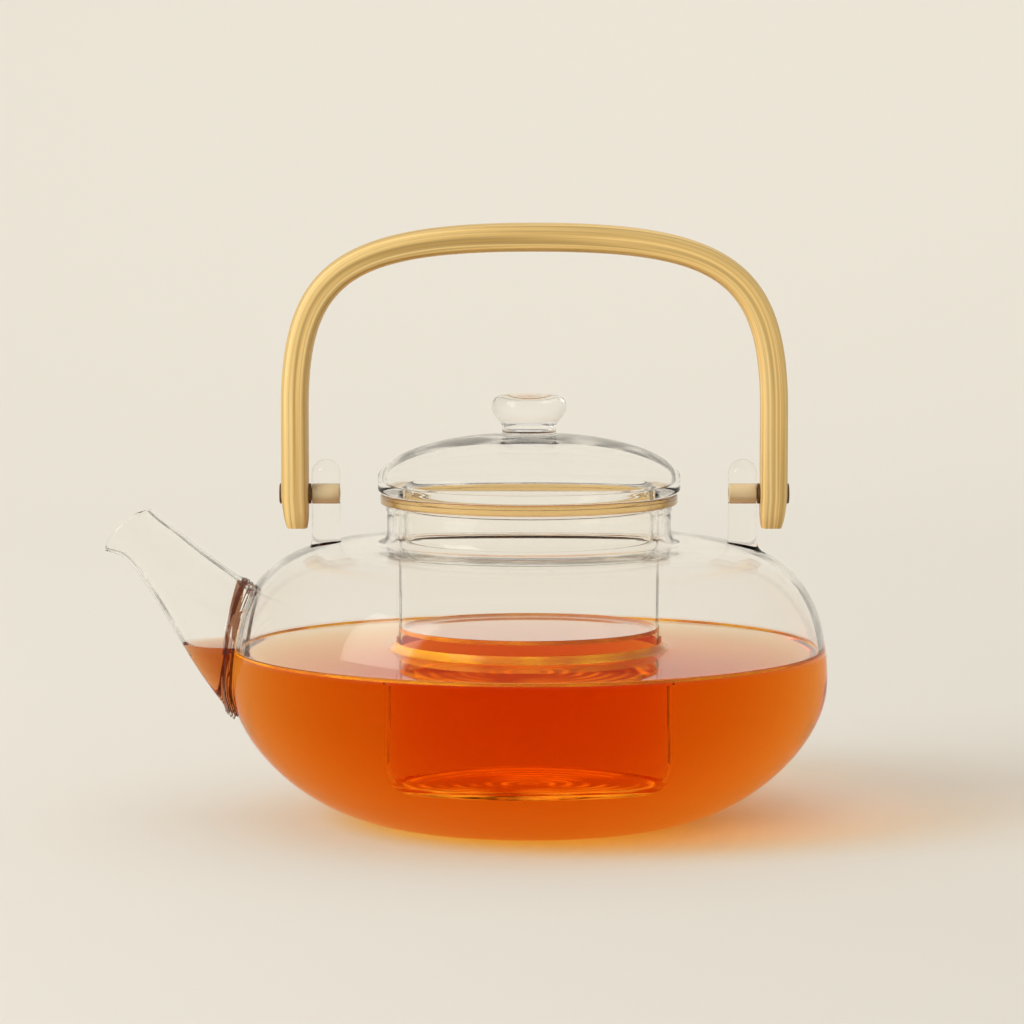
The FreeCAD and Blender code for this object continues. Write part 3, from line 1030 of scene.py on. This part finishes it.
def make_light():
    """A soft box to the front left, a wide fill overhead that leans towards the wall, and the room."""
    scene = bpy.context.scene
    world = bpy.data.worlds.new("studio")
    world.use_nodes = True
    room_light(world.node_tree)
    scene.world = world
    area_light("key", (-1.41, -0.73, 0.95), (0, 0, 0.05), (0.95, 1.2), 12, 130)
    area_light("fill", (0, 0.35, 2.3), (0, 2.2, 0.5), (2.2, 1.4), 9, 110)
    scene.view_settings.view_transform = "Standard"
    scene.view_settings.look = "None"
    cycles = scene.cycles
    cycles.max_bounces = 32
    cycles.transmission_bounces = 28
    cycles.transparent_max_bounces = 48
    cycles.glossy_bounces = 8
    cycles.diffuse_bounces = 3
    cycles.caustics_refractive = True
    cycles.caustics_reflective = False
    cycles.sample_clamp_indirect = 3.0


def make_camera():
    """A long lens at the front, a little above the object and tilted down to it."""
    data = bpy.data.cameras.new("camera")
    data.sensor_width = 36
    data.lens = 138.6
    data.clip_end = 20
    camera = new_object("camera", data)
    camera.location = (-4.5 * MM, -1.040, 0.174)
    camera.rotation_euler = (math.radians(90 - 5.09), 0, 0)
    bpy.context.scene.camera = camera


# ---------------------------------------------------------------- build
make_camera()
make_stage()
make_light()

clear = glass_material("clear_glass", 1.09, WARM, WHITE, 0.25, DRY_SHADE)
lid_glass = glass_material("lid_glass", 1.03, WARM, WHITE, 0.2, DRY_SHADE)
knob_glass = glass_material("knob_glass", 1.14, WARM, WHITE, 0.25, DRY_SHADE)
thin_clear = glass_material("thin_clear_glass", 1.02, WARM, WHITE, 0.08, DRY_SHADE)
wet = glass_material("wet_glass", 1.05, WHITE, AMBER_SHINE, 0.0, WET_SHADE)
wet_infuser_glass = glass_material("wet_infuser_glass", 1.01, WHITE, AMBER_SHINE, 0.0, WET_SHADE)
# Glass tinted dark brown for the bands of the fused ring: a painted reflection of the tea.
painted_tea_reflection_glass = glass_material("painted_tea_reflection_glass", 1.1, (0.36, 0.16, 0.08, 1), AMBER_SHINE, 0.3, DRY_SHADE)
ringed_glass = ringed_glass_material("ringed_glass", 4.0 * MM)
silicone = silicone_material("amber_silicone", (0.88, 0.64, 0.30, 1), 0.93)
pale_silicone = silicone_material("pale_silicone", (0.86, 0.69, 0.42, 1), 0.35)
bamboo = bamboo_material()
dark_pin = pin_material()
tea = tea_material("tea", TEA_COLOUR, 49.0, TEA_SHADOW, 1.09, round_infuser=True)
glossy_tea = tea_material("glossy_tea", TEA_COLOUR, 62.0, TEA_SHADOW, 1.005, 1.0)
# The spout's tea is a darker, denser copy of the same tea: painted shade.
painted_shade_spout_tea = tea_material("painted_shade_spout_tea", (0.84, 0.46, 0.0, 1), 150.0, TEA_SHADOW, 1.12)
thin_tea = thin_tea_material()


def place_piece(piece, material, body, slot, *replaced):
    """Gives a piece its material, the body it moves with and the nodes that it stands for."""
    piece.data.materials.clear()
    piece.data.materials.append(material)
    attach(piece, body)
    if replaced:
        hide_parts(*replaced)
    return piece


pot = place_piece(make_pot(), clear, "pot", "clear_glass",
                  "vessel_body", "spout", "spout_root_ring", "lug_spout_side", "lug_back_side")
below(pot, TEA_Z, wet)
infuser = place_piece(make_infuser(), thin_clear, "infuser", "clear_glass", "infuser")
below(infuser, INFUSER_TEA_Z, wet_infuser_glass)
below(infuser, infuser_low[2] + INFUSER_WALL + 0.2 * MM, ringed_glass)
place_piece(make_seal(), silicone, "infuser", "amber_silicone", "seal_ring")
lid = place_piece(make_lid(), knob_glass, "lid", "clear_glass", "lid", "lid_knob")
below(lid, LID_TOP_Z + 0.2 * MM, lid_glass)
place_piece(make_bow(), bamboo, "handle", "bamboo", "handle_bow")
place_piece(make_bowl_tea(), tea, "pot", None)
# The spout's tea takes the darker copy of the tea, as painted shade.
place_piece(make_spout_tea(), painted_shade_spout_tea, "pot", None)
place_piece(make_infuser_tea(), glossy_tea, "infuser", None)
# The fused ring's bands get the brown-tinted glass, a painted reflection of the tea.
for number, (start, end) in enumerate(RING_BANDS):
    place_piece(make_ring_band("ring_band_%d" % number, start, end), painted_tea_reflection_glass, "pot", None)
bowl_r = clipped(bowl_outline(WALL), TEA_Z)[-1][0]
for name, wall_r, level, rise, reach, body in (
    ("edge_in_bowl", bowl_r, TEA_Z, 0.7 * MM, -0.9 * MM, "pot"),
    ("edge_round_infuser", INFUSER_R, TEA_Z, 2.2 * MM, 1.9 * MM, "pot"),
    ("edge_in_infuser", INFUSER_R - INFUSER_WALL, INFUSER_TEA_Z, 1.0 * MM, -1.1 * MM, "infuser"),
):
    place_piece(make_tea_edge(name, wall_r, level, rise, reach, 0.1 * MM), thin_tea, body, None)
for side, place in ((-1, "spout_side"), (1, "back_side")):
    place_piece(make_bush(side), pale_silicone, "pot", "amber_silicone", "bush_" + place)
    for kind in ("pin_", "washer_"):
        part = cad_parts[kind + place]
        part.data.materials.clear()
        part.data.materials.append(dark_pin)
